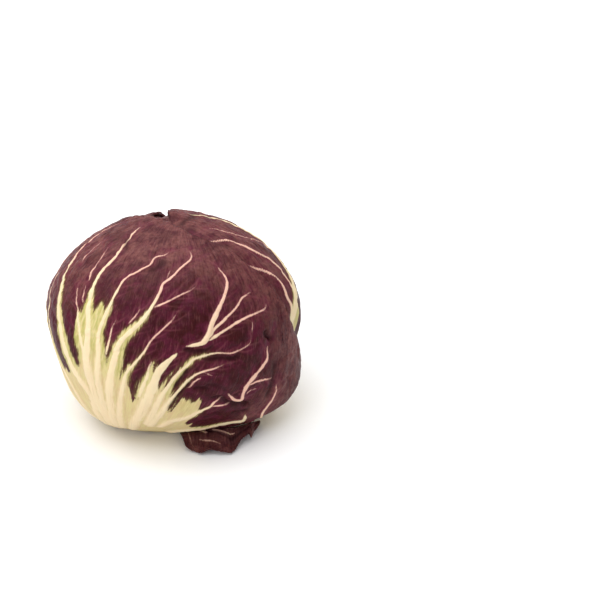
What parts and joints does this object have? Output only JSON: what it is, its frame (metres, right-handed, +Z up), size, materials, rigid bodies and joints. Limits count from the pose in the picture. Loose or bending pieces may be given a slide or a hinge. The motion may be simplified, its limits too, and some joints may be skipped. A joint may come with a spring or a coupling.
{
  "type": "radicchio head",
  "caption": "Round red radicchio head of clasping wine-red wrapper leaves with pale ribs over a packed heart, trimmed stem down, one torn leaf under it.",
  "frame": {"origin": "on the flat spot that the head rests on, below the middle of the head", "axes": "+Z up with the trimmed stem down, -Y towards the side of the large front leaf, +X towards the side of the right leaf"},
  "size_m": [0.1186, 0.1124, 0.0962],
  "materials": {
    "wine_leaf": "smooth waxy leaf, wine red between cream ribs",
    "inner_leaf": "pale packed inner leaves, matt",
    "cream_stem": "trimmed fleshy stem, matt cream",
    "torn_leaf": "limp dark torn leaf, satin"
  },
  "bodies": {
    "root": {"wrapper_leaf_front": "wine_leaf", "wrapper_leaf_right": "wine_leaf", "wrapper_leaf_left": "wine_leaf", "wrapper_leaf_back": "wine_leaf", "heart_of_inner_leaves": "inner_leaf", "trimmed_stem": "cream_stem", "torn_leaf_flap": "torn_leaf"}
  },
  "joints": []
}
